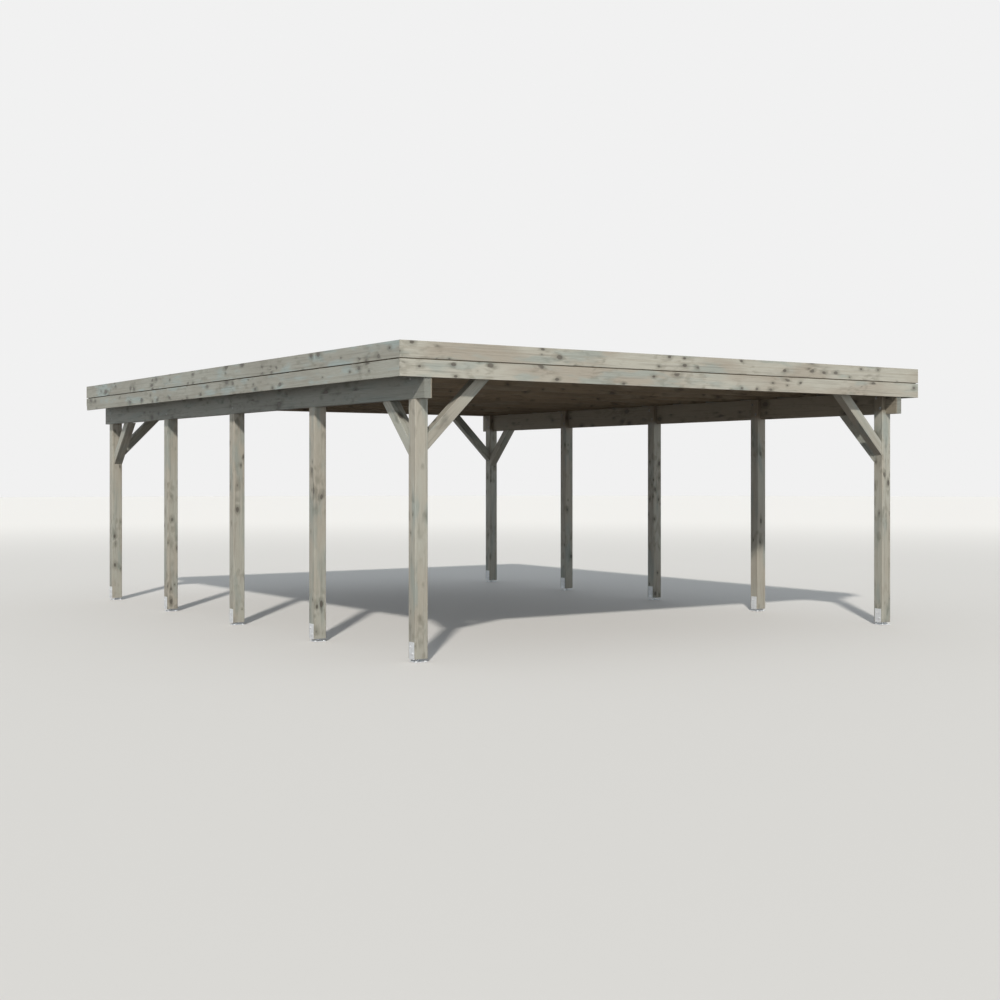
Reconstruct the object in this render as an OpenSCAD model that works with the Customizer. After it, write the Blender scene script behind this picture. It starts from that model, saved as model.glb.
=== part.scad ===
// Flat-roofed double carport in pressure-treated timber.
//
// Two rows of five posts stand on galvanised shoes. Each post is notched on its outer side
// for a side beam, and knee braces stiffen the four corners in both directions. Rafters lie
// across the beams under a boarded deck and its felt, and two courses of fascia boards close
// the roof's edge.
//
// Millimetres. The origin is on the ground, under the middle of the roof.
// +X is to the right, +Y runs from the drive-in front to the rear and +Z is up.

/* [Plan] */
// Distance between the two rows of posts, centre to centre
row_gap = 5285; // [3000:5:6500]
// Distance between neighbouring posts of a row, centre to centre
post_pitch = 1810; // [1500:5:2400]
// From a post's centre to the fascia's outer face, at the sides
side_overhang = 281; // [150:1:500]
// From the last post's centre to the fascia's outer face, at the front and rear
end_overhang = 214; // [150:1:500]

/* [Posts] */
// Side of a post's square section
post_size = 115; // [100:1:160]
// Radius of the planed long edges of a post
post_edge = 8; // [2:1:15]
// Height of the posts' feet above the ground
post_foot = 28; // [20:1:60]

/* [Post shoes] */
// Side of the square base plate
shoe_plate = 110; // [100:1:160]
// Thickness of the base plate
shoe_plate_t = 5; // [4:1:10]
// Diameter of the anchor holes in the base plate
anchor_d = 12; // [8:1:14]
// Distance between neighbouring anchor holes
anchor_spacing = 82; // [70:1:84]
// Diameter of the stem under the saddle
stem_d = 20; // [16:1:40]
// Thickness of the saddle's strip steel
saddle_t = 4; // [3:1:6]
// Width of the saddle along the beam
saddle_w = 80; // [60:1:100]
// Height of the saddle's two cheeks beside the post
cheek_h = 132; // [100:1:250]

/* [Side beams] */
// Height of the beams' undersides above the ground
beam_underside = 2089; // [1900:1:3000]
// Thickness of a side beam, which is also the depth of the posts' notches
beam_t = 68; // [50:1:85]
// Depth of a side beam
beam_h = 216; // [160:1:300]
// Radius of the long edges of beams, braces and rafters
timber_edge = 4; // [1:1:6]

/* [Knee braces] */
// Side of a brace's square section
brace_size = 95; // [70:1:100]
// Drop of a brace's toe below the beam, for the braces along the beams
along_drop = 477; // [350:1:700]
// Drop of a brace's toe below the rafters, for the braces across the bay
across_drop = 623; // [450:1:800]

/* [Roof] */
// Thickness of a rafter
rafter_t = 45; // [40:1:80]
// Depth of a rafter
rafter_h = 145; // [100:1:180]
// Spaces between rafters from one post to the next
rafter_spaces = 3; // [2:1:4]
// Thickness of the deck
deck_t = 19; // [15:1:28]
// Thickness of the roofing felt
felt_t = 4; // [3:1:8]

/* [Fascia] */
// Thickness of a fascia board
fascia_t = 16; // [14:1:28]
// Height of a fascia board
fascia_h = 137; // [110:1:180]
// Open gap between the two courses
fascia_gap = 8; // [4:1:15]
// How far the fascia hangs below the rafters
fascia_drop = 53; // [20:1:80]
// Radius of the fascia boards' long edges
fascia_edge = 3; // [1:1:5]

/* [Hidden] */
$fn = 48;
eps = 1;
SIDES = ["left", "right"];
ENDS = ["front", "rear"];
POSTS = 5;

row_l = post_pitch * (POSTS - 1);
roof_w = row_gap + 2 * side_overhang;
roof_l = row_l + 2 * end_overhang;
inner_w = roof_w - 2 * fascia_t;
inner_l = roof_l - 2 * fascia_t;
beam_top = beam_underside + beam_h;
fascia_bottom = beam_top - fascia_drop;
upper_course = fascia_bottom + fascia_h + fascia_gap;
rafter_pitch = post_pitch / rafter_spaces;

NODES = concat(
    [for (s = SIDES, i = [1:POSTS]) str("post_", s, "_", i)],
    [for (s = SIDES, i = [1:POSTS]) str("shoe_", s, "_", i)],
    [for (s = SIDES) str("beam_", s)],
    [for (e = ENDS, s = SIDES) str("brace_along_", e, "_", s)],
    [for (e = ENDS, s = SIDES) str("brace_across_", e, "_", s)],
    ["rafters", "roof_deck", "roof_felt"],
    [for (e = ENDS) str("fascia_", e, "_upper")],
    [for (e = ENDS) str("fascia_", e, "_lower")],
    [for (s = SIDES) str("fascia_", s, "_upper")],
    [for (s = SIDES) str("fascia_", s, "_lower")]
);
node = "all";

// -1 for the left row and the front end, +1 for the right row and the rear end
function sign_of(name) = name == "left" || name == "front" ? -1 : 1;

function row_x(side) = sign_of(side) * row_gap / 2;
function post_y(i) = -row_l / 2 + (i - 1) * post_pitch;
function end_y(end) = sign_of(end) * row_l / 2;

function chosen(name) = node == "all" || node == name;

// Rectangle about the origin with its corners rounded to radius r
module rounded_rect(w, h, r) {
    square([w - 2 * r, h], center = true);
    square([w, h - 2 * r], center = true);
    for (x = [-1, 1], y = [-1, 1])
        translate([x * (w / 2 - r), y * (h / 2 - r)])
            circle(r = r);
}

// Upright timber about the origin, from z = 0 upwards
module stick(w, h, length, r) {
    linear_extrude(length)
        rounded_rect(w, h, r);
}

// Timber along Y, centred in plan, with its underside at z = 0
module stick_along(w, h, length, r) {
    translate([0, length / 2, h / 2])
        rotate([90, 0, 0])
            stick(w, h, length, r);
}

// Timber along X, centred in plan, with its underside at z = 0
module stick_across(w, h, length, r) {
    rotate([0, 0, 90])
        stick_along(w, h, length, r);
}

// A post whose upper part is cut away on its outer side, so that a tongue stands beside the beam
module post(side, i) {
    outward = sign_of(side);
    color("#a39c88")
        translate([row_x(side), post_y(i), post_foot])
            difference() {
                stick(post_size, post_size, beam_top - post_foot, post_edge);
                translate([
                    outward * (post_size - beam_t + eps) / 2,
                    0,
                    beam_underside - post_foot + (beam_h + eps) / 2
                ])
                    cube([beam_t + eps, post_size + 2 * eps, beam_h + eps], center = true);
            }
}

// Base plate, stem and U-shaped saddle
module shoe(side, i) {
    saddle_z = post_foot - saddle_t;
    color("#bfc2c4")
        translate([row_x(side), post_y(i), 0]) {
            difference() {
                translate([-shoe_plate / 2, -shoe_plate / 2, 0])
                    cube([shoe_plate, shoe_plate, shoe_plate_t]);
                for (x = [-1, 1], y = [-1, 1])
                    translate([x * anchor_spacing / 2, y * anchor_spacing / 2, -eps])
                        cylinder(d = anchor_d, h = shoe_plate_t + 2 * eps);
            }
            translate([0, 0, shoe_plate_t])
                cylinder(d = stem_d, h = saddle_z - shoe_plate_t);
            translate([-post_size / 2 - saddle_t, -saddle_w / 2, saddle_z])
                cube([post_size + 2 * saddle_t, saddle_w, saddle_t]);
            for (x = [-post_size / 2 - saddle_t, post_size / 2])
                translate([x, -saddle_w / 2, post_foot])
                    cube([saddle_t, saddle_w, cheek_h]);
        }
}

// Side beam, flush with the posts' outer faces and butted against the end fascias
module beam(side) {
    color("#8f8f80")
        translate([row_x(side) + sign_of(side) * (post_size - beam_t) / 2, 0, beam_underside])
            stick_along(beam_t, beam_h, inner_l, timber_edge);
}

// Brace at 45 degrees that leaves a post's face at x = 0, with its toe at z = 0 and its head
// cut level at z = rise
module knee(rise) {
    slant = brace_size * sqrt(2);
    reach = rise * sqrt(2) + 2 * slant;
    intersection() {
        rotate([0, 45, 0])
            translate([-brace_size / 2, 0, -slant])
                stick(brace_size, brace_size, reach, timber_edge);
        translate([0, -brace_size, 0])
            cube([rise + slant, 2 * brace_size, rise]);
    }
}

// Knee brace from a corner post to the beam above it, flush with the post's inner face
module brace_along(end, side) {
    color("#938d7a")
        translate([
            row_x(side) - sign_of(side) * (post_size - brace_size) / 2,
            end_y(end) - sign_of(end) * post_size / 2,
            beam_underside - along_drop
        ])
            rotate([0, 0, -90 * sign_of(end)])
                knee(along_drop);
}

// Knee brace from a corner post to the rafter above it
module brace_across(end, side) {
    color("#b0a78f")
        translate([
            row_x(side) - sign_of(side) * post_size / 2,
            end_y(end),
            beam_top - across_drop
        ])
            rotate([0, 0, side == "left" ? 0 : 180])
                knee(across_drop);
}

// Rafters over the posts and between them, and one behind each end fascia
module rafters() {
    last_y = (inner_l - rafter_t) / 2;
    ys = concat(
        [-last_y],
        [for (n = [0:(POSTS - 1) * rafter_spaces]) n * rafter_pitch - row_l / 2],
        [last_y]
    );
    color("#6b5946")
        for (y = ys)
            translate([0, y, beam_top])
                stick_across(rafter_t, rafter_h, inner_w, timber_edge);
}

module roof_deck() {
    color("#5f4e3c")
        translate([-inner_w / 2, -inner_l / 2, beam_top + rafter_h])
            cube([inner_w, inner_l, deck_t]);
}

module roof_felt() {
    color("#3a3c3e")
        translate([-inner_w / 2, -inner_l / 2, beam_top + rafter_h + deck_t])
            cube([inner_w, inner_l, felt_t]);
}

// Fascia board across the front or rear, over the ends of the side boards
module fascia_end(end, bottom, height) {
    color("#b3ad9b")
        translate([0, sign_of(end) * (roof_l - fascia_t) / 2, bottom])
            stick_across(fascia_t, height, roof_w, fascia_edge);
}

// Fascia board along a side, between the end boards
module fascia_side(side, bottom) {
    color("#999d92")
        translate([sign_of(side) * (roof_w - fascia_t) / 2, 0, bottom])
            stick_along(fascia_t, fascia_h, inner_l, fascia_edge);
}

// Lower board of an end fascia: at the rear it stops level with the rafters' undersides
module fascia_end_lower(end) {
    bottom = end == "rear" ? beam_top : fascia_bottom;
    fascia_end(end, bottom, fascia_bottom + fascia_h - bottom);
}

for (s = SIDES, i = [1:POSTS]) {
    if (chosen(str("post_", s, "_", i))) post(s, i);
    if (chosen(str("shoe_", s, "_", i))) shoe(s, i);
}
for (s = SIDES) {
    if (chosen(str("beam_", s))) beam(s);
    if (chosen(str("fascia_", s, "_upper"))) fascia_side(s, upper_course);
    if (chosen(str("fascia_", s, "_lower"))) fascia_side(s, fascia_bottom);
}
for (e = ENDS, s = SIDES) {
    if (chosen(str("brace_along_", e, "_", s))) brace_along(e, s);
    if (chosen(str("brace_across_", e, "_", s))) brace_across(e, s);
}
for (e = ENDS) {
    if (chosen(str("fascia_", e, "_upper"))) fascia_end(e, upper_course, fascia_h);
    if (chosen(str("fascia_", e, "_lower"))) fascia_end_lower(e);
}
if (chosen("rafters")) rafters();
if (chosen("roof_deck")) roof_deck();
if (chosen("roof_felt")) roof_felt();
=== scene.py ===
import math
import random

import bmesh
import bpy
from bpy.props import FloatProperty, FloatVectorProperty, IntProperty, PointerProperty
from mathutils import Matrix, Vector


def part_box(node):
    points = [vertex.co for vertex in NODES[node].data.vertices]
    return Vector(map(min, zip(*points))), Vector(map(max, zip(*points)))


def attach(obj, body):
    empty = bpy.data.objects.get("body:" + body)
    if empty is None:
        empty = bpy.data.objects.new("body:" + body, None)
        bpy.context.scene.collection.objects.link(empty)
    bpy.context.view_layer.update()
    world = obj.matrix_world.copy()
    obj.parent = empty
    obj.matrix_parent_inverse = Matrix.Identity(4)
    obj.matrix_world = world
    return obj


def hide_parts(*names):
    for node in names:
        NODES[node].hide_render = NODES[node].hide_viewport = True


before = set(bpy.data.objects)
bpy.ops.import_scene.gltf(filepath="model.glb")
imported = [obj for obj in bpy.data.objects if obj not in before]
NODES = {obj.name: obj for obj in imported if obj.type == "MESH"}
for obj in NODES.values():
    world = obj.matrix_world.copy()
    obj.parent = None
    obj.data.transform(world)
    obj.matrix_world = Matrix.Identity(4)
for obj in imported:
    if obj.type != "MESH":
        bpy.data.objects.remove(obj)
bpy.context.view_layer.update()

bl_info = {
    "name": "Timber Carport",
    "version": (1, 0, 0),
    "blender": (4, 5, 0),
    "location": "3D View > Sidebar > Carport",
    "description": "Dresses a flat-roofed double carport in weathered timber, felt and steel",
    "category": "Object",
}

BODY = "root"
SIDES = ("left", "right")
ENDS = ("front", "rear")
POSTS = range(1, 6)
SQRT2 = math.sqrt(2)
SEED = 11


# ---------------------------------------------------------------- the frame's measures, in metres

def middle(node):
    """The centre of a CAD node's box."""
    low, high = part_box(node)
    return (low + high) / 2


ROW_X = middle("post_right_1").x
PITCH = middle("post_right_2").y - middle("post_right_1").y
POST_LOW, POST_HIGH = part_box("post_right_1")
POST_SIDE = POST_HIGH.y - POST_LOW.y
BEAM_LOW, BEAM_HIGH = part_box("beam_right")
DECK_LOW, DECK_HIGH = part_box("roof_deck")
FELT_LOW, FELT_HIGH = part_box("roof_felt")
PLATE_TOP = 0.005
SADDLE_T = 0.004
ANCHOR_OFF = 0.041
RAFTER_T = 0.045
RAFTER_SPACES = 3
RAFTER_PITCH = PITCH / RAFTER_SPACES
LAST_RAFTER_Y = DECK_HIGH.y - RAFTER_T / 2
SCREW_PROUD = 0.0006
SCREW_SUNK = 0.002


def sign_of(name):
    """-1 for the left row and the front end, +1 for the right row and the rear end."""
    return -1 if name in ("left", "front") else 1


def rafter_places():
    """The Y of every rafter's centre line, from the front to the rear."""
    last_post = middle("post_right_5").y
    spaces = RAFTER_SPACES * (len(POSTS) - 1)
    between = [n * RAFTER_PITCH - last_post for n in range(spaces + 1)]
    return [-LAST_RAFTER_Y, *between, LAST_RAFTER_Y]


# ---------------------------------------------------------------- shader expressions

class Value:
    """A shader number that Python's operators work on."""

    def __init__(self, shader, socket):
        self.shader = shader
        self.socket = socket

    def _do(self, operation, *others):
        return self.shader.math(operation, self, *others)

    def __add__(self, other):
        return self._do("ADD", other)

    def __radd__(self, other):
        return self.shader.math("ADD", other, self)

    def __sub__(self, other):
        return self._do("SUBTRACT", other)

    def __rsub__(self, other):
        return self.shader.math("SUBTRACT", other, self)

    def __mul__(self, other):
        return self._do("MULTIPLY", other)

    def __rmul__(self, other):
        return self.shader.math("MULTIPLY", other, self)

    def __truediv__(self, other):
        return self._do("DIVIDE", other)

    def __pow__(self, other):
        return self._do("POWER", other)

    def __abs__(self):
        return self._do("ABSOLUTE")

    def __gt__(self, other):
        return self._do("GREATER_THAN", other)

    def sign(self):
        return self._do("SIGN")

    def floor(self):
        return self._do("FLOOR")

    def round(self):
        return self._do("ROUND")

    def sine(self):
        return self._do("SINE")

    def root(self):
        return self._do("SQRT")

    def ramp(self, start, end):
        """0 up to start, 1 from end on and smooth between. start may be the larger."""
        node = self.shader.node(
            "ShaderNodeMapRange",
            {"interpolation_type": "SMOOTHSTEP"},
            {"Value": self, "From Min": start, "From Max": end},
        )
        return Value(self.shader, node.outputs["Result"])


class Nodes:
    """A node tree that is built from expressions."""

    def __init__(self, tree):
        self.tree = tree

    def node(self, kind, settings, inputs):
        """A node of this type, its settings made first and then its sockets' values or links."""
        made = self.tree.nodes.new(kind)
        for name, value in settings.items():
            setattr(made, name, value)
        for name, value in inputs.items():
            socket = made.inputs[name]
            if isinstance(value, Value):
                value = value.socket
            if isinstance(value, bpy.types.NodeSocket):
                self.tree.links.new(value, socket)
            else:
                socket.default_value = value
        return made

    def math(self, operation, *values):
        made = self.node("ShaderNodeMath", {"operation": operation}, dict(enumerate(values)))
        return Value(self, made.outputs[0])

    def split(self, vector):
        parts = self.node("ShaderNodeSeparateXYZ", {}, {"Vector": vector}).outputs
        return [Value(self, part) for part in parts]

    def join(self, x, y, z):
        return self.node("ShaderNodeCombineXYZ", {}, {"X": x, "Y": y, "Z": z}).outputs["Vector"]

    def attribute(self, name):
        made = self.node("ShaderNodeAttribute", {"attribute_name": name}, {})
        return Value(self, made.outputs["Fac"])

    def random(self, seed):
        """Three even random numbers that belong to a seed."""
        made = self.node("ShaderNodeTexWhiteNoise", {"noise_dimensions": "1D"}, {"W": seed})
        return self.split(made.outputs["Color"])

    def noise(self, vector, detail):
        made = self.node(
            "ShaderNodeTexNoise", {}, {"Vector": vector, "Scale": 1.0, "Detail": detail}
        )
        return Value(self, made.outputs["Fac"])

    def cells(self, vector):
        """Distance to the nearest cell point, that point, and the cell's three random numbers."""
        made = self.node("ShaderNodeTexVoronoi", {}, {"Vector": vector, "Scale": 1.0})
        distance = Value(self, made.outputs["Distance"])
        return distance, self.split(made.outputs["Position"]), self.split(made.outputs["Color"])

    def border(self, vector):
        """Distance to the nearest border between cells."""
        made = self.node(
            "ShaderNodeTexVoronoi",
            {"feature": "DISTANCE_TO_EDGE"},
            {"Vector": vector, "Scale": 1.0},
        )
        return Value(self, made.outputs["Distance"])

    def mix(self, factor, first, second, blend="MIX"):
        """A colour from first, where the factor is 0, to second, where it is 1."""
        made = self.node(
            "ShaderNodeMix",
            {"data_type": "RGBA", "blend_type": blend},
            {0: factor, 6: first, 7: second},
        )
        return made.outputs[2]


class Shader(Nodes):
    """One procedural material."""

    def __init__(self, name):
        self.material = bpy.data.materials.new(name)
        self.material.use_nodes = True
        super().__init__(self.material.node_tree)
        self.surface = self.tree.nodes["Principled BSDF"]

    def place(self):
        """The object's own X, Y and Z."""
        coordinates = self.node("ShaderNodeTexCoord", {}, {}).outputs["Object"]
        return self.split(coordinates)

    def finish(self, colour, roughness, height, distance):
        """Links the colour, the roughness and a bump, whose full height is the distance."""
        bump = self.node("ShaderNodeBump", {}, {"Height": height, "Distance": distance})
        self.tree.links.new(colour, self.surface.inputs["Base Color"])
        self.tree.links.new(roughness.socket, self.surface.inputs["Roughness"])
        self.tree.links.new(bump.outputs["Normal"], self.surface.inputs["Normal"])
        return self.material


# ---------------------------------------------------------------- timber

# Metres: a year's ring, and how far apart knots may stand along and across the grain
RING_WIDTH = 0.0045
KNOT_GAP_ALONG = 0.17
KNOT_GAP_ACROSS = 0.075

# What the sapwood's tone is multiplied by
LATE_WOOD = (0.55, 0.47, 0.36, 1)
DEEP_FIBRE = (0.62, 0.60, 0.56, 1)
STAINED = (0.55, 0.53, 0.49, 1)
ROUND_A_KNOT = (0.42, 0.42, 0.39, 1)
DARKER_PIECE = (0.72, 0.71, 0.68, 1)

KNOT_WOOD = (0.080, 0.067, 0.054, 1)
COPPER_GREEN = (0.34, 0.44, 0.46)


def opaque(colour):
    """A colour property's red, green and blue with full alpha."""
    return (*colour, 1.0)


def pine(
    shader, along, across, deep, seed, tones, flat=1.0, spread=1.0, knotty=0.55, sheltered_and_shaded=None
):
    """Pressure-treated pine. along, across and deep are metres from the timber's own middle.

    tones are the pale, warm and cool sapwood and the knots' wood. flat is how much a knot's
    place through the timber's depth counts: a board's knots run right through it. spread
    scales the knots and the gaps between them, and knotty is how many of them there are.
    The last argument is how much of the sapwood takes another tone, and that tone: a brown that is
    partly the tone of sheltered wood and partly painted shade. A seed only has to differ from those
    of the timbers beside it."""
    pale, warm, cool, dark = tones
    first, second, third = shader.random(seed)
    u = along + first * 40
    v = across + second * 3
    w = deep * flat + third * 3

    # Knots stand in whorls a few hands apart, with the grain bent round them
    gap_u, gap_v = KNOT_GAP_ALONG * spread, KNOT_GAP_ACROSS * spread
    cell = shader.join(u / gap_u, v / gap_v, w / gap_v)
    _, centre, chance = shader.cells(cell)
    knot_u = centre[0] * gap_u
    off_u = u - knot_u
    off_v = v - centre[1] * gap_v
    off_w = (w - centre[2] * gap_v) * flat
    away = ((off_u * 0.6) ** 2 + off_v ** 2 + off_w ** 2).root()
    whorl = whorls(shader, knot_u * 2.1 / spread, first, second)
    present = (whorl * 0.80 + 0.14) * knotty > chance[0]
    radius = (0.005 + chance[1] ** 2 * 0.013) * spread
    size = away / radius
    smudge = shader.noise(shader.join(u * 22, v * 50, w * 50), 4.0)
    within = shader.border(cell).ramp(0.0, 0.14) * present
    ragged = size + smudge * 0.7
    knot = ragged.ramp(1.48, 1.28) * within
    rim = ragged.ramp(1.85, 1.45) * within - knot
    heart = ((ragged * 15).sine() * 0.5 + 0.5) * knot
    halo = (size + smudge * 3.4).ramp(6.9, 1.7) * within
    clouded = whorls(shader, u * 2.1 / spread, first, second)
    cloud = shader.noise(shader.join(u * 9, v * 24, w * 24), 4.0).ramp(0.50, 0.66) * clouded

    wander = shader.noise(shader.join(u * 0.9, v * 7, w * 7), 3.0) - 0.5
    grain_v = across + (second - 0.5) * 0.16 + wander * 0.030 + off_v * halo * 0.5
    grain_w = deep + third * 0.10 + 0.03 + off_w * halo * 0.5
    ring = ((grain_v ** 2 + grain_w ** 2).root() / RING_WIDTH) * (2 * math.pi)
    late = (ring.sine() * 0.5 + 0.5) ** 3
    fibre = shader.noise(shader.join(u * 9, v * 420, w * 420), 2.0)

    broad = shader.noise(shader.join(u * 1.1, v * 4, w * 4), 2.0).ramp(0.38, 0.62)
    patch = shader.noise(shader.join(u * 2.3 + 7, v * 9, w * 9), 3.0).ramp(0.50, 0.68)
    streak = shader.noise(shader.join(u * 1.6, v * 55, w * 55), 2.0).ramp(0.50, 0.78)

    colour = shader.mix(broad, opaque(pale), opaque(warm))
    colour = shader.mix(patch * 0.75, colour, opaque(cool))
    # Painted shade: where a mask is given, a brown stands in for the shade under the roof, along
    # with sheltered wood's own brown
    if sheltered_and_shaded:
        colour = shader.mix(sheltered_and_shaded[0], colour, opaque(sheltered_and_shaded[1]))
    colour = shader.mix(streak * 0.28, colour, opaque(dark))
    colour = shader.mix(late * 0.20, colour, LATE_WOOD, "MULTIPLY")
    colour = shader.mix(fibre.ramp(0.62, 0.30) * 0.35, colour, DEEP_FIBRE, "MULTIPLY")
    colour = shader.mix(cloud * 0.45, colour, STAINED, "MULTIPLY")
    colour = shader.mix(halo * 0.66, colour, ROUND_A_KNOT, "MULTIPLY")
    colour = shader.mix(knot * (0.66 + chance[2] * 0.28), colour, KNOT_WOOD)
    colour = shader.mix(heart * 0.45 + rim * 0.55, colour, opaque(dark))
    tint = shader.random(seed + 51.3)[0] * 0.13
    colour = shader.mix(tint, colour, DARKER_PIECE, "MULTIPLY")

    roughness = 0.80 - late * 0.08 - knot * 0.18
    height = late * 0.35 + fibre * 0.45 - knot * 0.20 - rim * 0.35 + streak * 0.15
    return shader.finish(colour, roughness, height, distance=0.0007)


def whorls(shader, along, first, second):
    """1 where a timber has a whorl of knots at this place along it, and 0 between whorls."""
    return shader.noise(shader.join(along, first * 9, second * 9), 1.0).ramp(0.45, 0.58)


def glued(place, total, layers, seed):
    """A seed for each layer of a glued timber, across its depth."""
    return seed + (place / (total / layers)).floor() * 0.173


def post_timber(tones, brown):
    """Square timber whose tongue, beside the beam under the roof, is painted a dark brown: partly
    sheltered wood's tone, partly painted shade.
    """
    shader = Shader("post_timber")
    x, y, z = shader.place()
    bay = (y / PITCH).round()
    seed = bay * 2.13 + x.sign() * 5.37
    # Painted shade: the post darkens towards a deep brown from just below the beam's underside
    # upwards
    tongue = z.ramp(BEAM_LOW.z - 0.02, BEAM_LOW.z + 0.05) * 0.80
    across, deep = abs(x) - ROW_X, y - bay * PITCH
    return pine(
        shader, z, across, deep, seed, tones,
        spread=0.8, knotty=0.9, sheltered_and_shaded=(tongue, brown),
    )


def beam_timber(tones, brown):
    """Glued timber whose inner face, under the roof, is painted browner: partly sheltered wood's
    tone, partly painted shade.
    """
    shader = Shader("beam_timber")
    x, y, z = shader.place()
    up = z - BEAM_LOW.z
    seed = glued(up, BEAM_HIGH.z - BEAM_LOW.z, layers=2, seed=x.sign() * 3.71)
    deep = abs(x) - (BEAM_LOW.x + BEAM_HIGH.x) / 2
    half = (BEAM_HIGH.x - BEAM_LOW.x) / 2
    # Painted shade: the inner face, under the roof, turns part way to a brown
    inner = deep.ramp(0.012 - half, 0.004 - half) * 0.55
    return pine(
        shader, y, up, deep, seed, tones,
        flat=0.3, spread=1.3, knotty=0.75, sheltered_and_shaded=(inner, brown),
    )


def brace_timber(name, tones, along_beam):
    """Timber at 45 degrees, leaning in towards the middle of the carport."""
    shader = Shader(name)
    x, y, z = shader.place()
    lean, level = (y, x) if along_beam else (x, y)
    centre = middle("brace_along_front_right" if along_beam else "brace_across_front_right")
    out, beside = abs(centre.x), abs(centre.y)
    if along_beam:
        out, beside = beside, out
    along = (z - abs(lean)) / SQRT2
    across = (z + abs(lean)) / SQRT2 - (centre.z + out) / SQRT2
    seed = x.sign() * 4.19 + y.sign() * 2.57 + 0.7
    return pine(shader, along, across, abs(level) - beside, seed, tones)


def rafter_timber(tones):
    shader = Shader("rafter_timber")
    x, y, z = shader.place()
    row = (y / RAFTER_PITCH).round()
    outermost = (abs(y) > LAST_RAFTER_Y - RAFTER_T) * 7
    seed = row * 1.37 + outermost * y.sign()
    up, deep = z - middle("rafters").z, y - row * RAFTER_PITCH
    return pine(shader, x, up, deep, seed, tones, flat=0.3)


def fascia_timber(name, tones, side_board):
    """The boards of the sides, which run along Y, or of the ends, which run along X."""
    shader = Shader(name)
    x, y, z = shader.place()
    low = middle("fascia_left_lower")
    high = middle("fascia_left_upper")
    upper = z > (low.z + high.z) / 2
    up = z - low.z - upper * (high.z - low.z)
    along, through = (y, x) if side_board else (x, y)
    out = abs(low.x) if side_board else abs(middle("fascia_front_upper").y)
    seed = through.sign() * 2.91 + upper * 6.43 + (1.9 if side_board else 0.3)
    return pine(shader, along, up, abs(through) - out, seed, tones, flat=0.1, knotty=0.62)


def deck_timber(tones, cover):
    shader = Shader("deck_timber")
    x, y, z = shader.place()
    strip = (x / cover).floor()
    across, deep = x - (strip + 0.5) * cover, z - DECK_LOW.z
    return pine(shader, y, across, deep, shader.attribute("number"), tones, flat=0.2)


# ---------------------------------------------------------------- steel and felt

BLUISH_CRYSTAL = (0.70, 0.73, 0.77, 1)
DULL_ZINC = (0.58, 0.59, 0.59, 1)
GRIME = (0.24, 0.22, 0.19, 1)
DARK_GRANULE = (0.115, 0.120, 0.118, 1)
PALE_GRANULE = (0.24, 0.25, 0.245, 1)
WASHED_FELT = (0.78, 0.80, 0.78, 1)
ALGAE = (0.085, 0.090, 0.060, 1)
OTHER_ROLL = (0.66, 0.68, 0.68, 1)
BITUMEN = (0.014, 0.014, 0.015, 1)


def galvanised(name, colour, spangle, roughness):
    """Hot-dip zinc with its crystal spangle, dulled in patches."""
    shader = Shader(name)
    x, y, z = shader.place()
    _, _, chance = shader.cells(shader.join(x / spangle, y / spangle, z / spangle))
    dull = shader.noise(shader.join(x * 24, y * 24, z * 24), 4.0).ramp(0.40, 0.68)
    grime = shader.noise(shader.join(x * 60, y * 60, z * 22), 3.0).ramp(0.56, 0.76)
    shade = shader.mix(chance[0] * 0.30, opaque(colour), BLUISH_CRYSTAL, "MULTIPLY")
    shade = shader.mix(dull * 0.40, shade, DULL_ZINC)
    shade = shader.mix(grime * 0.22, shade, GRIME)
    shader.surface.inputs["Metallic"].default_value = 0.30
    rough = roughness + chance[1] * 0.14 + dull * 0.16
    return shader.finish(shade, rough, chance[2] * 0.2 + dull * 0.5, distance=0.0003)


def mineral_felt(colour, lap_start, step):
    """Slate-grey mineral granules on bitumen, with a dark bead along each sheet's lap."""
    shader = Shader("mineral_felt")
    x, y, z = shader.place()
    sheet = shader.random(shader.attribute("number"))[0]
    past = (y - lap_start) / step
    beyond = (past - past.floor()) * step
    bead_width = shader.noise(shader.join(x * 9, y * 2, 0.0), 2.0) * 0.022 + 0.004
    bead = (beyond / bead_width).ramp(1.2, 0.7)
    distance, _, chance = shader.cells(shader.join(x * 620, y * 620, z * 620))
    broad = shader.noise(shader.join(x * 1.3, y * 1.3, z), 4.0).ramp(0.36, 0.66)
    pond = shader.noise(shader.join(x * 0.55 + 3, y * 0.8, z), 3.0).ramp(0.56, 0.66)
    ripple = shader.noise(shader.join(x * 3, y * 11, z * 3), 2.0)
    shade = shader.mix(chance[0] * 0.55, opaque(colour), DARK_GRANULE)
    shade = shader.mix((chance[1] > 0.86) * 0.7, shade, PALE_GRANULE)
    shade = shader.mix(broad * 0.35, shade, WASHED_FELT, "MULTIPLY")
    shade = shader.mix(pond * 0.30, shade, ALGAE)
    shade = shader.mix(sheet * 0.45, shade, OTHER_ROLL, "MULTIPLY")
    shade = shader.mix(bead * 0.80, shade, BITUMEN)
    height = distance.ramp(0.7, 0.1) * 0.5 + ripple * 2.2
    return shader.finish(shade, 0.92 - chance[2] * 0.12, height, distance=0.0011)


def dress(node, material):
    """Gives a CAD node its finish through its material slots."""
    piece = NODES[node]
    if not piece.material_slots:
        raise RuntimeError(f"{node} has no material slot")
    for slot in piece.material_slots:
        slot.material = material


# ---------------------------------------------------------------- modelling

# Metres. What lies within TINY of a place is at it, and an edge whose middle lies within
# CENTRED of a piece's middle runs the whole way across it
TINY = 1e-4
CENTRED = 0.01

# The least Z of the normal of a face that looks straight up
FACES_UP = 0.99

# Edges that turn more than this stay sharp
SMOOTH_BELOW = math.radians(35)


def clear_selection():
    bpy.ops.object.select_all(action="DESELECT")


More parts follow.
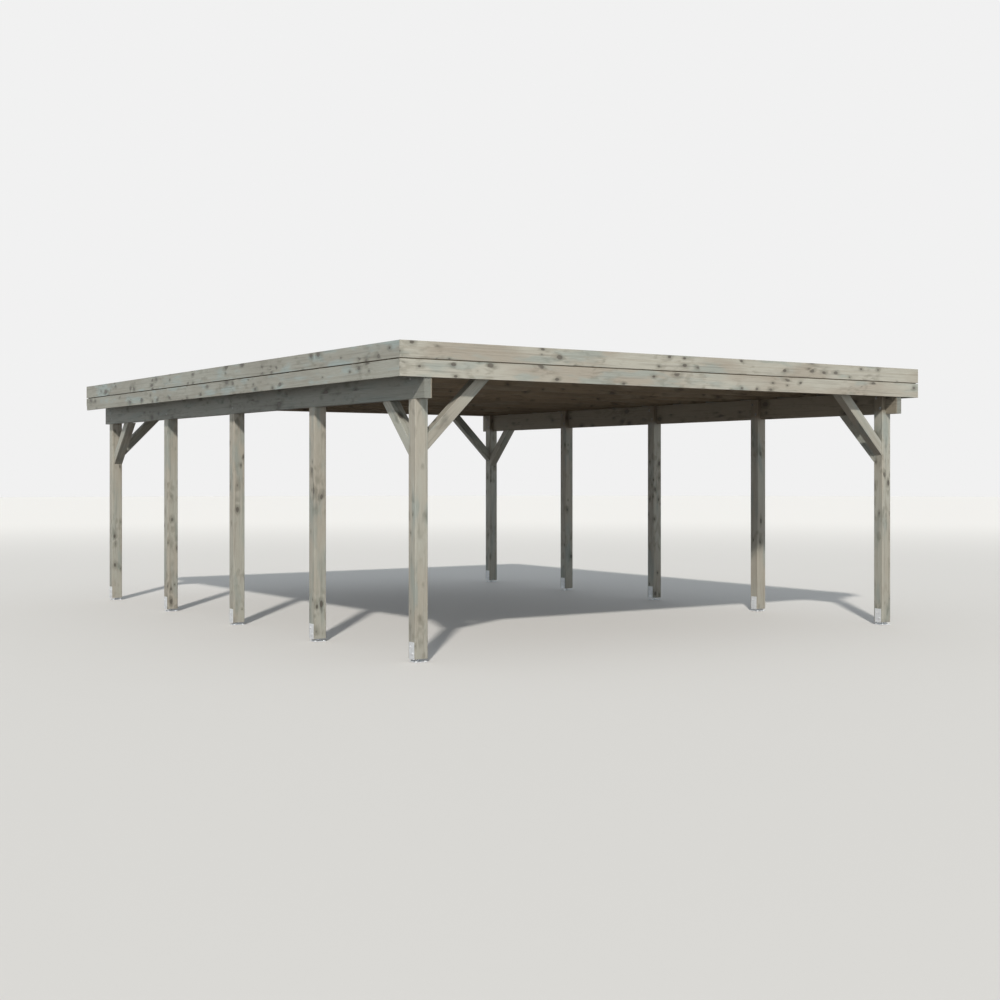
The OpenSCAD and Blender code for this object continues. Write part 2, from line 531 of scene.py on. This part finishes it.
def edit(piece, kind, test, action):
    """Selects in edit mode what passes the test, and runs the action on it.

    A vertex is tested by its place, an edge by its middle and a face by its normal."""
    clear_selection()
    bpy.context.view_layer.objects.active = piece
    piece.select_set(True)
    bpy.ops.object.mode_set(mode="EDIT")
    bpy.ops.mesh.select_mode(type=kind)
    bpy.ops.mesh.select_all(action="DESELECT")
    mesh = bmesh.from_edit_mesh(piece.data)
    found = {"VERT": mesh.verts, "EDGE": mesh.edges, "FACE": mesh.faces}[kind]
    for element in found:
        if kind == "VERT":
            chosen = test(element.co)
        elif kind == "EDGE":
            chosen = test((element.verts[0].co + element.verts[1].co) / 2)
        else:
            chosen = test(element.normal)
        element.select_set(chosen)
    bmesh.update_edit_mesh(piece.data)
    action()
    bpy.ops.object.mode_set(mode="OBJECT")


def settle(piece, name):
    """Names a piece and puts its place and size into its mesh."""
    clear_selection()
    bpy.context.view_layer.objects.active = piece
    piece.select_set(True)
    bpy.ops.object.transform_apply(location=True, rotation=True, scale=True)
    piece.name = name
    return piece


def block(name, low, high):
    """A squared piece between two corners."""
    low, high = Vector(low), Vector(high)
    clear_selection()
    bpy.ops.mesh.primitive_cube_add(size=1, location=(low + high) / 2, scale=high - low)
    return settle(bpy.context.object, name)


def rod(name, radius, low, high, sides):
    """A round or many-sided bar up the Z axis."""
    clear_selection()
    bpy.ops.mesh.primitive_cylinder_add(
        vertices=sides, radius=radius, depth=high - low, location=(0, 0, (low + high) / 2)
    )
    return settle(bpy.context.object, name)


def number(piece, value):
    """Gives a piece's faces the number that their pattern starts from."""
    made = piece.data.attributes.new("number", "FLOAT", "FACE")
    made.data.foreach_set("value", [value] * len(piece.data.polygons))


def copy_at(master, matrix):
    """A copy with its own mesh, moved there."""
    copy = master.copy()
    copy.data = master.data.copy()
    copy.data.transform(matrix)
    bpy.context.scene.collection.objects.link(copy)
    return copy


def discard(*pieces):
    for piece in pieces:
        bpy.data.objects.remove(piece)


def join(pieces, name):
    """Joins pieces into one object at the origin."""
    clear_selection()
    for piece in pieces:
        piece.select_set(True)
    bpy.context.view_layer.objects.active = pieces[0]
    bpy.ops.object.join()
    made = bpy.context.view_layer.objects.active
    made.name = name
    return made


def smooth(piece):
    """Smooth shading that keeps the sharper edges."""
    clear_selection()
    bpy.context.view_layer.objects.active = piece
    piece.select_set(True)
    bpy.ops.object.shade_smooth_by_angle(angle=SMOOTH_BELOW)


def hand_over(piece, material):
    """Gives a finished piece its material and its ride."""
    piece.data.materials.clear()
    piece.data.materials.append(material)
    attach(piece, BODY)


def facing(direction, place):
    """A matrix that turns +Z to a direction and moves the origin to a place."""
    turn = Vector(direction).to_track_quat("Z", "Y").to_matrix().to_4x4()
    return Matrix.Translation(Vector(place)) @ turn


def screw_head(radius):
    """A countersunk screw's head, just proud of the wood, with a recess in its middle."""
    head = rod("screw_master", radius, -SCREW_SUNK, SCREW_PROUD, sides=14)
    edit(head, "FACE", lambda n: n.z > FACES_UP, lambda: sink_recess(radius))
    return head


def sink_recess(radius):
    """Leaves a rim on the selected top face and pushes its middle down."""
    rim, depth = radius * 0.60, 0.0012
    bpy.ops.mesh.inset(thickness=rim)
    bpy.ops.transform.translate(value=(0, 0, -depth))


def hex_head(width, height, washer):
    """A hexagon head on its washer, from the face at z = 0 upwards."""
    washer_t = 0.002
    worn, chamfer = washer_t / 4, height * 0.22
    plate = rod("washer_master", washer / 2, 0, washer_t, sides=20)
    edit(plate, "EDGE", lambda c: c.z > washer_t - TINY, lambda: bpy.ops.mesh.bevel(offset=worn))
    head = rod("hexagon_master", width / math.sqrt(3), washer_t, washer_t + height, sides=6)
    edit(
        head,
        "EDGE",
        lambda c: c.z > washer_t + height - TINY,
        lambda: bpy.ops.mesh.bevel(offset=chamfer, segments=2),
    )
    return join([plate, head], "hex_master")


def dome_head(radius, height):
    """A coach bolt's low dome, from the face at z = 0 upwards."""
    skirt, rounding = height * 0.35, height * 0.30
    head = rod("dome_master", radius, 0, skirt, sides=18)
    edit(
        head,
        "EDGE",
        lambda c: c.z > skirt - TINY,
        lambda: bpy.ops.mesh.bevel(offset=rounding, segments=3),
    )
    edit(head, "FACE", lambda n: n.z > FACES_UP, lambda: raise_dome(height))
    return head


def raise_dome(height):
    """Draws the selected top face up in two narrowing steps."""
    for share, narrow in ((0.40, 0.72), (0.25, 0.45)):
        rise = (0, 0, height * share)
        bpy.ops.mesh.extrude_region_move(TRANSFORM_OT_translate={"value": rise})
        bpy.ops.transform.resize(value=(narrow, narrow, 1))


# ---------------------------------------------------------------- what a user may change

class CarportTimber(bpy.types.PropertyGroup):
    pale: FloatVectorProperty(
        name="Pale sapwood", description="The lightest tone of the treated pine",
        subtype="COLOR", size=3, default=(0.372, 0.360, 0.312), min=0, max=1,
    )
    warm: FloatVectorProperty(
        name="Warm sapwood", description="The browner tone of the treated pine",
        subtype="COLOR", size=3, default=(0.312, 0.283, 0.236), min=0, max=1,
    )
    cool: FloatVectorProperty(
        name="Green sapwood", description="The tone where the preservative shows green-grey",
        subtype="COLOR", size=3, default=(0.268, 0.296, 0.272), min=0, max=1,
    )
    knot: FloatVectorProperty(
        name="Knots", description="The dark wood of knots and resin streaks",
        subtype="COLOR", size=3, default=(0.052, 0.043, 0.035), min=0, max=1,
    )
    shade: FloatVectorProperty(
        name="Roof timber", description="The brown of the rafters and deck under the roof",
        subtype="COLOR", size=3, default=(0.255, 0.205, 0.140), min=0, max=1,
    )


class CarportRoof(bpy.types.PropertyGroup):
    boards: IntProperty(
        name="Boards across", description="How many deck boards lie side by side",
        default=48, min=30, max=70,
    )
    groove: FloatProperty(
        name="V groove", description="Depth of the chamfers between boards, seen from below",
        default=0.004, min=0.001, max=0.008, unit="LENGTH",
    )
    sheets: IntProperty(
        name="Felt sheets", description="How many widths of felt cover the roof",
        default=8, min=6, max=10,
    )
    lap: FloatProperty(
        name="Felt lap", description="How far one sheet of felt lies over the next",
        default=0.08, min=0.05, max=0.15, unit="LENGTH",
    )
    felt: FloatVectorProperty(
        name="Felt", description="The bitumen felt's base tone",
        subtype="COLOR", size=3, default=(0.060, 0.064, 0.064), min=0, max=1,
    )


class CarportSteel(bpy.types.PropertyGroup):
    zinc: FloatVectorProperty(
        name="Zinc", description="The galvanised shoes' tone",
        subtype="COLOR", size=3, default=(0.72, 0.73, 0.74), min=0, max=1,
    )
    screw: FloatVectorProperty(
        name="Screws", description="The tone of the screws and bolts",
        subtype="COLOR", size=3, default=(0.17, 0.165, 0.155), min=0, max=1,
    )


class CarportStage(bpy.types.PropertyGroup):
    floor: FloatVectorProperty(
        name="Floor", description="The plain floor's tone",
        subtype="COLOR", size=3, default=(0.675, 0.655, 0.635), min=0, max=1,
    )
    bounce: FloatVectorProperty(
        name="Bounce", description="The tone of the light the floor throws back near the carport",
        subtype="COLOR", size=3, default=(0.100, 0.066, 0.050), min=0, max=1,
    )
    sun: FloatProperty(
        name="Main lamp", description="Strength of the main lamp",
        default=3.4, min=0, max=10,
    )
    softness: FloatProperty(
        name="Softness", description="Angle over which the main lamp spreads",
        default=math.radians(2.5), min=0, max=math.radians(30), subtype="ANGLE",
    )
    fill: FloatProperty(
        name="Fill", description="Strength of the light from all round",
        default=0.42, min=0, max=3,
    )
    glow: FloatProperty(
        name="Glow", description="How much brighter the light is at the horizon than overhead",
        default=3.0, min=0, max=5,
    )


def tones(scene):
    made = scene.carport_timber
    return made.pale, made.warm, made.cool, made.knot


def toned(colour, share, other=(0, 0, 0)):
    """A colour mixed by a share towards another, or towards black."""
    return tuple(a * (1 - share) + b * share for a, b in zip(colour, other))


# ---------------------------------------------------------------- operators

LAMP_TINT = (1.0, 0.965, 0.90)
SKY_TINT = (0.88, 0.95, 1.0, 1)
BACKDROP = (1, 1, 1, 1)
FLOOR_MOTTLE = (0.60, 0.59, 0.58, 1)
FAR_FLOOR = (0.86, 0.835, 0.81, 1)


class CARPORT_OT_stage(bpy.types.Operator):
    """Makes the camera, the lights and the floor"""

    bl_idname = "carport.stage"
    bl_label = "Stage"

    def execute(self, context):
        scene = context.scene
        values = scene.carport_stage
        self.camera(scene)
        self.lamp(values)
        self.surroundings(scene, values)
        self.floor(values)
        scene.view_settings.view_transform = "Standard"
        return {"FINISHED"}

    def camera(self, scene):
        clear_selection()
        bpy.ops.object.camera_add(
            location=(-8.6156, -14.1111, 1.4901),
            rotation=(math.radians(90), 0, math.radians(-34.62)),
        )
        camera = bpy.context.object
        camera.name = "camera"
        camera.data.sensor_width = 36
        camera.data.lens = 54.448
        camera.data.shift_x = -0.04959
        camera.data.shift_y = -0.02556
        camera.data.clip_end = 300
        scene.camera = camera

    def lamp(self, values):
        clear_selection()
        bpy.ops.object.light_add(type="SUN", location=(-6, -9, 8))
        lamp = bpy.context.object
        lamp.name = "main_lamp"
        shine = Vector((1.0, 1.35, -1.08))
        lamp.rotation_euler = shine.to_track_quat("-Z", "Y").to_euler()
        lamp.data.energy = values.sun
        lamp.data.angle = values.softness
        lamp.data.color = LAMP_TINT

    def surroundings(self, scene, values):
        """Soft light from all round, brighter towards the horizon, before a plain backdrop."""
        world = bpy.data.worlds.new("studio")
        world.use_nodes = True
        world.node_tree.nodes.clear()
        scene.world = world
        sky = Nodes(world.node_tree)
        up = sky.split(sky.node("ShaderNodeTexCoord", {}, {}).outputs["Generated"])[2]
        strength = (abs(up).ramp(0.50, 0.0) * values.glow + 1) * values.fill
        light = sky.node("ShaderNodeBackground", {}, {"Color": SKY_TINT, "Strength": strength})
        seen = sky.node("ShaderNodeBackground", {}, {"Color": BACKDROP, "Strength": 0.88})
        path = sky.node("ShaderNodeLightPath", {}, {})
        both = sky.node(
            "ShaderNodeMixShader",
            {},
            {0: path.outputs["Is Camera Ray"], 1: light.outputs[0], 2: seen.outputs[0]},
        )
        sky.node("ShaderNodeOutputWorld", {}, {"Surface": both.outputs[0]})

    def floor(self, values):
        """A pale floor that throws little light back near the carport, as dark paving does."""
        dark_to, pale_from = 5.5, 7.5
        bright_from, bright_to = 10.0, 34.0
        clear_selection()
        bpy.ops.mesh.primitive_circle_add(
            vertices=96, radius=90, fill_type="NGON", location=(0, 0, -0.0005)
        )
        floor = settle(bpy.context.object, "floor")
        shader = Shader("studio_floor")
        x, y, _ = shader.place()
        mottle = shader.noise(shader.join(x * 0.7, y * 0.7, 0.0), 3.0)
        out = (x ** 2 + y ** 2).root()
        tone = shader.mix(mottle * 0.06, opaque(values.floor), FLOOR_MOTTLE)
        tone = shader.mix(out.ramp(bright_from, bright_to), tone, FAR_FLOOR)
        bounced = shader.mix(out.ramp(dark_to, pale_from), opaque(values.bounce), tone)
        path = shader.node("ShaderNodeLightPath", {}, {})
        tone = shader.mix(path.outputs["Is Camera Ray"], bounced, tone)
        shader.finish(tone, 0.85 + mottle * 0.05, mottle, distance=0.0005)
        floor.data.materials.append(shader.material)


class CARPORT_OT_posts(bpy.types.Operator):
    """Finishes the ten posts in treated pine"""

    bl_idname = "carport.posts"
    bl_label = "Posts"

    def execute(self, context):
        pale, warm, cool, knot = tones(context.scene)
        greener = (toned(pale, 0.20, cool), toned(warm, 0.40, pale), toned(cool, 0.06), knot)
        # The tongues' painted shade: the roof timber's brown, made darker
        timber = post_timber(greener, toned(context.scene.carport_timber.shade, 0.35))
        for side in SIDES:
            for i in POSTS:
                dress(f"post_{side}_{i}", timber)
        return {"FINISHED"}


class CARPORT_OT_beams(bpy.types.Operator):
    """Finishes the two glued side beams"""

    bl_idname = "carport.beams"
    bl_label = "Side Beams"

    def execute(self, context):
        pale, warm, cool, knot = tones(context.scene)
        weathered = [
            toned(toned(pale, 0.50, cool), 0.34),
            toned(toned(warm, 0.60, cool), 0.34),
            toned(cool, 0.32),
            knot,
        ]
        # The inner face's painted shade takes the roof timber's brown
        timber = beam_timber(weathered, context.scene.carport_timber.shade)
        for side in SIDES:
            dress(f"beam_{side}", timber)
        return {"FINISHED"}


class CARPORT_OT_braces(bpy.types.Operator):
    """Finishes the knee braces"""

    bl_idname = "carport.braces"
    bl_label = "Knee Braces"

    def execute(self, context):
        pale, warm, cool, knot = tones(context.scene)
        wood = (toned(pale, 0.35, cool), toned(warm, 0.20, cool), toned(cool, 0.08), knot)
        for kind in ("along", "across"):
            timber = brace_timber(f"brace_{kind}_timber", wood, kind == "along")
            for end in ENDS:
                for side in SIDES:
                    dress(f"brace_{kind}_{end}_{side}", timber)
        return {"FINISHED"}


class CARPORT_OT_rafters(bpy.types.Operator):
    """Finishes the rafters in the brown of timber that stays in the shade"""

    bl_idname = "carport.rafters"
    bl_label = "Rafters"

    def execute(self, context):
        values = context.scene.carport_timber
        shade = values.shade
        cool = toned(shade, 0.25, values.cool)
        wood = (shade, toned(shade, 0.22), cool, toned(shade, 0.72))
        dress("rafters", rafter_timber(wood))
        return {"FINISHED"}


class CARPORT_OT_fascia(bpy.types.Operator):
    """Finishes the two courses of fascia boards"""

    bl_idname = "carport.fascia"
    bl_label = "Fascia Boards"

    def execute(self, context):
        pale, warm, cool, knot = tones(context.scene)
        bluish = toned(cool, 0.40, COPPER_GREEN)
        greener = (
            toned(toned(pale, 0.35, cool), 0.15),
            toned(toned(warm, 0.40, cool), 0.15),
            toned(bluish, 0.10),
            knot,
        )
        for names, side_board in ((SIDES, True), (ENDS, False)):
            label = "side" if side_board else "end"
            wood = greener if side_board else (pale, warm, cool, knot)
            timber = fascia_timber(f"fascia_{label}_timber", wood, side_board)
            for name in names:
                for course in ("upper", "lower"):
                    dress(f"fascia_{name}_{course}", timber)
        return {"FINISHED"}


class CARPORT_OT_deck(bpy.types.Operator):
    """Lays the deck of grooved boards, butted over the rafters"""

    bl_idname = "carport.deck"
    bl_label = "Roof Deck"

    def execute(self, context):
        values = context.scene.carport_roof
        wood = context.scene.carport_timber
        chance = random.Random(SEED)
        cover = (DECK_HIGH.x - DECK_LOW.x) / values.boards
        joints = [RAFTER_PITCH * n for n in (-RAFTER_SPACES, 0, RAFTER_SPACES)]
        boards = []
        masters = {}
        for strip in range(values.boards):
            joint = joints[(strip * 2) % len(joints)]
            left = DECK_LOW.x + strip * cover
            for start, end in ((DECK_LOW.y, joint), (joint, DECK_HIGH.y)):
                span = (start, end)
                if span not in masters:
                    masters[span] = self.board(cover, start, end, values.groove)
                board = copy_at(masters[span], Matrix.Translation((left + cover / 2, 0, 0)))
                number(board, chance.uniform(0, 50))
                boards.append(board)
        discard(*masters.values())
        deck = join(boards, "deck_boards")
        shade = wood.shade
        planks = (
            toned(shade, 0.10, wood.pale),
            toned(shade, 0.15),
            toned(shade, 0.20, wood.cool),
            toned(shade, 0.70),
        )
        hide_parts("roof_deck")
        hand_over(deck, deck_timber(planks, cover))
        return {"FINISHED"}

    def board(self, cover, start, end, groove):
        """One board about x = 0, with its lower long edges chamfered."""
        gap = 0.0005
        plank = block(
            "board_master",
            (-cover / 2 + gap, start + gap, DECK_LOW.z),
            (cover / 2 - gap, end - gap, DECK_HIGH.z),
        )
        middle_y = (start + end) / 2
        underside = DECK_LOW.z + TINY
        edit(
            plank,
            "EDGE",
            lambda c: c.z < underside and abs(c.y - middle_y) < CENTRED < abs(c.x),
            lambda: bpy.ops.mesh.bevel(offset=groove),
        )
        return plank


class CARPORT_OT_felt(bpy.types.Operator):
    """Lays the felt in lapped sheets and turns it up behind the fascia"""

    bl_idname = "carport.felt"
    bl_label = "Roofing Felt"

    def execute(self, context):
        values = context.scene.carport_roof
        thick = FELT_HIGH.z - FELT_LOW.z
        step = (FELT_HIGH.y - FELT_LOW.y - values.lap) / values.sheets
        material = mineral_felt(values.felt, FELT_LOW.y + values.lap, step)
        sheets = []
        for n in range(values.sheets):
            start = FELT_LOW.y + n * step
            width = self.sheet(start, start + step + values.lap, values.lap, thick)
            number(width, n + 1)
            sheets.append(width)
        cover = join(sheets, "felt_sheets")
        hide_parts("roof_felt")
        hand_over(cover, material)
        turned = join([self.upstand(name, thick) for name in SIDES + ENDS], "felt_upstands")
        hand_over(turned, material)
        return {"FINISHED"}

    def sheet(self, start, end, lap, thick):
        """One width of felt whose rear edge climbs over the next one's front edge."""
        low = (FELT_LOW.x, start, FELT_LOW.z)
        high = (FELT_HIGH.x, min(end, FELT_HIGH.y), FELT_HIGH.z)
        width = block("sheet_master", low, high)
        slope, clear = 0.02, 0.0003
        for y in (end - lap - slope, end - lap):
            edit(
                width,
                "VERT",
                lambda c: True,
                lambda y=y: bpy.ops.mesh.bisect(plane_co=(0, y, 0), plane_no=(0, 1, 0)),
            )
        edit(
            width,
            "VERT",
            lambda c: c.y > end - lap - TINY,
            lambda: bpy.ops.transform.translate(value=(0, 0, thick + clear)),
        )
        return width

    def upstand(self, name, thick):
        """A strip that lies on the roof, climbs a fillet and stands against the fascia."""
        flap, fillet, strip_t = 0.14, 0.035, 0.003
        from_fascia, from_corners, below_rim, over_sides = 0.0035, 0.008, 0.005, 0.002
        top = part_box("fascia_left_upper")[1].z - below_rim
        across = name in ENDS
        half = (FELT_HIGH.y if across else FELT_HIGH.x) - from_fascia
        length = (FELT_HIGH.x if across else FELT_HIGH.y) * 2 - from_corners
        z = FELT_HIGH.z + 2 * thick + (over_sides if across else 0.0)
        inner = half - fillet - flap
        clear_selection()
        bpy.ops.mesh.primitive_plane_add(size=1)
        strip = bpy.context.object
        strip.scale = (flap, length, 1)
        strip.location = (inner + flap / 2, 0, z)
        settle(strip, "upstand_master")
        rise = top - z - fillet
        for move in ((fillet, 0, fillet), (0, 0, rise)):
            reach = max(v.co.x for v in strip.data.vertices)
            high = max(v.co.z for v in strip.data.vertices)
            edit(
                strip,
                "EDGE",
                lambda c, x=reach - TINY, z=high - TINY: c.x > x and c.z > z and abs(c.y) < CENTRED,
                lambda m=move: bpy.ops.mesh.extrude_region_move(
                    TRANSFORM_OT_translate={"value": m}
                ),
            )
        edit(
            strip,
            "FACE",
            lambda n: True,
            lambda: bpy.ops.mesh.normals_make_consistent(inside=False),
        )
        solid = strip.modifiers.new("thickness", "SOLIDIFY")
        solid.thickness = strip_t
        solid.offset = 0
        bpy.ops.object.modifier_apply(modifier=solid.name)
        turn = Matrix.Rotation(math.radians(90 if across else 0), 4, "Z")
        if sign_of(name) < 0:
            turn = Matrix.Rotation(math.radians(180), 4, "Z") @ turn
        strip.data.transform(turn)
        return strip


class CARPORT_OT_fascia_screws(bpy.types.Operator):
    """Drives pairs of screws through the boards, at every rafter and along the two ends"""

    bl_idname = "carport.fascia_screws"
    bl_label = "Fascia Screws"

    def execute(self, context):
        master = screw_head(radius=0.0050)
        # Two in each course, all within the rafters' depth
        heights = (2.325, 2.368, 2.413, 2.437)
        # The heads' rims come level with the boards' faces
        face_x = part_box("fascia_right_upper")[1].x - SCREW_PROUD
        face_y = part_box("fascia_rear_upper")[1].y - SCREW_PROUD
        spaces, from_corner = 10, 0.05
        heads = []
        for z in heights:
            for y in rafter_places():
                for side in SIDES:
                    out = sign_of(side)
                    heads.append(copy_at(master, facing((out, 0, 0), (out * face_x, y, z))))
            for n in range(spaces + 1):
                x = (n / spaces - 0.5) * 2 * (DECK_HIGH.x - from_corner)
                for end in ENDS:
                    out = sign_of(end)
                    heads.append(copy_at(master, facing((0, out, 0), (x, out * face_y, z))))
        discard(master)
        screws = join(heads, "fascia_screws")
        hand_over(screws, screw_steel(context.scene))
        return {"FINISHED"}


class CARPORT_OT_beam_bolts(bpy.types.Operator):
    """Bolts each post's tongue to its beam, with domes outside and nuts inside"""

    bl_idname = "carport.beam_bolts"
    bl_label = "Beam Bolts"

    def execute(self, context):
        dome = dome_head(radius=0.0105, height=0.0055)
        nut = hex_head(width=0.017, height=0.008, washer=0.030)
        beside, from_edge = 0.026, 0.055
        places = ((-beside, BEAM_LOW.z + from_edge), (beside, BEAM_HIGH.z - from_edge))
        made = []
        for side in SIDES:
            out = sign_of(side)
            for i in POSTS:
                low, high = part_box(f"post_{side}_{i}")
                post = (low + high) / 2
                outer = post.x + out * POST_SIDE / 2
                inner = post.x - out * POST_SIDE / 2
                for dy, z in places:
                    made.append(copy_at(dome, facing((out, 0, 0), (outer, post.y + dy, z))))
                    made.append(copy_at(nut, facing((-out, 0, 0), (inner, post.y + dy, z))))
        discard(dome, nut)
        bolts = join(made, "beam_bolts")
        smooth(bolts)
        hand_over(bolts, screw_steel(context.scene))
        return {"FINISHED"}


class CARPORT_OT_brace_screws(bpy.types.Operator):
    """Drives screws through each knee brace's lower face at its toe and head"""

    bl_idname = "carport.brace_screws"
    bl_label = "Brace Screws"

    def execute(self, context):
        master = screw_head(radius=0.0065)
        made = []
        for kind in ("along", "across"):
            for end in ENDS:
                for side in SIDES:
                    made += self.brace(master, kind, end, side)
        discard(master)
        screws = join(made, "brace_screws")
        hand_over(screws, screw_steel(context.scene))
        return {"FINISHED"}

    def brace(self, master, kind, end, side):
        """Screws in one brace, whose lower face rises at 45 degrees from its box's foot."""
        low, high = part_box(f"brace_{kind}_{end}_{side}")
        centre = (low + high) / 2
        inward = -sign_of(end) if kind == "along" else -sign_of(side)
        axis = Vector((0, inward, 0)) if kind == "along" else Vector((inward, 0, 0))
        level = Vector((1, 0, 0)) if kind == "along" else Vector((0, 1, 0))
        length = high.z - low.z
        foot = centre - axis * length / 2
        foot.z = low.z
        up = Vector((0, 0, 1))
        normal = (axis - up).normalized()
        from_toe, from_head, off_middle = 0.055, 0.060, 0.022
        heads = []
        for rise in (from_toe, length - from_head):
            for beside in (-off_middle, off_middle):
                place = foot + (axis + up) * rise + level * beside
                heads.append(copy_at(master, facing(normal, place)))
        return heads


class CARPORT_OT_shoes(bpy.types.Operator):
    """Finishes the post shoes and adds their anchors, coach screws and welds"""

    bl_idname = "carport.shoes"
    bl_label = "Post Shoes"

    def execute(self, context):
        values = context.scene.carport_steel
        zinc = galvanised("galvanised_steel", values.zinc, spangle=0.009, roughness=0.36)
        anchor = self.anchor()
        screw = hex_head(width=0.013, height=0.0040, washer=0.018)
        weld = self.weld()
        screw_places = ((-0.017, 0.068), (0.017, 0.122))
        weld_places = ((PLATE_TOP, 1), (POST_LOW.z - SADDLE_T, -1))
        anchors, screws, welds = [], [], []
        for side in SIDES:
            for i in POSTS:
                node = f"shoe_{side}_{i}"
                dress(node, zinc)
                low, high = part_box(node)
                centre = (low + high) / 2
                for dx in (-ANCHOR_OFF, ANCHOR_OFF):
                    for dy in (-ANCHOR_OFF, ANCHOR_OFF):
                        place = (centre.x + dx, centre.y + dy, PLATE_TOP)
                        anchors.append(copy_at(anchor, Matrix.Translation(place)))
                for out in (-1, 1):
                    face = centre.x + out * (high.x - low.x) / 2
                    for dy, z in screw_places:
                        spot = facing((out, 0, 0), (face, centre.y + dy, z))
                        screws.append(copy_at(screw, spot))
                for z, flip in weld_places:
                    at = Matrix.Translation((centre.x, centre.y, z))
                    ring = copy_at(weld, at @ Matrix.Diagonal((1, 1, flip, 1)))
                    if flip < 0:
                        ring.data.flip_normals()
                    welds.append(ring)
        discard(anchor, screw, weld)
        for parts, name in (
            (anchors, "anchor_bolts"),
            (screws, "shoe_screws"),
            (welds, "stem_welds"),
        ):
            piece = join(parts, name)
            smooth(piece)
            hand_over(piece, zinc)
        return {"FINISHED"}

    def anchor(self):
        """A washer, a thin nut and the end of the stud that comes up through the plate."""
        nut = hex_head(width=0.016, height=0.003, washer=0.019)
        foot, top, chamfer = 0.004, 0.0065, 0.001
        stud = rod("stud_master", 0.005, foot, top, sides=12)
        edit(stud, "EDGE", lambda c: c.z > top - TINY, lambda: bpy.ops.mesh.bevel(offset=chamfer))
        return join([nut, stud], "anchor_master")

    def weld(self):
        """The fillet of weld round the stem, where it meets a plate at z = 0."""
        stem, leg = 0.010, 0.004
        narrow = stem / (stem + leg)
        ring = rod("weld_master", stem + leg, 0, leg, sides=20)
        edit(
            ring,
            "VERT",
            lambda c: c.z > leg / 2,
            lambda: bpy.ops.transform.resize(value=(narrow, narrow, 1)),
        )
        return ring


def screw_steel(scene):
    """One finish for all screws and bolts."""
    made = bpy.data.materials.get("screw_steel")
    tone = scene.carport_steel.screw
    return made or galvanised("screw_steel", tone, spangle=0.004, roughness=0.42)


OPERATORS = (
    CARPORT_OT_stage,
    CARPORT_OT_posts,
    CARPORT_OT_beams,
    CARPORT_OT_braces,
    CARPORT_OT_rafters,
    CARPORT_OT_fascia,
    CARPORT_OT_deck,
    CARPORT_OT_felt,
    CARPORT_OT_shoes,
    CARPORT_OT_fascia_screws,
    CARPORT_OT_beam_bolts,
    CARPORT_OT_brace_screws,
)


class CARPORT_PT_sidebar(bpy.types.Panel):
    """Lists the carport's settings and steps"""

    bl_idname = "CARPORT_PT_sidebar"
    bl_label = "Timber Carport"
    bl_space_type = "VIEW_3D"
    bl_region_type = "UI"
    bl_category = "Carport"

    def draw(self, context):
        for group in GROUPS:
            values = getattr(context.scene, group)
            column = self.layout.column(align=True)
            for name in values.__annotations__:
                column.prop(values, name)
        for step in OPERATORS:
            self.layout.operator(step.bl_idname)


GROUPS = {
    "carport_timber": CarportTimber,
    "carport_roof": CarportRoof,
    "carport_steel": CarportSteel,
    "carport_stage": CarportStage,
}
CLASSES = (*GROUPS.values(), *OPERATORS, CARPORT_PT_sidebar)


def register():
    for made in CLASSES:
        bpy.utils.register_class(made)
    for name, group in GROUPS.items():
        setattr(bpy.types.Scene, name, PointerProperty(type=group))


def unregister():
    for name in GROUPS:
        delattr(bpy.types.Scene, name)
    for made in reversed(CLASSES):
        bpy.utils.unregister_class(made)


def main():
    register()
    for step in OPERATORS:
        group, name = step.bl_idname.split(".")
        getattr(getattr(bpy.ops, group), name)()


if __name__ == "__main__":
    main()
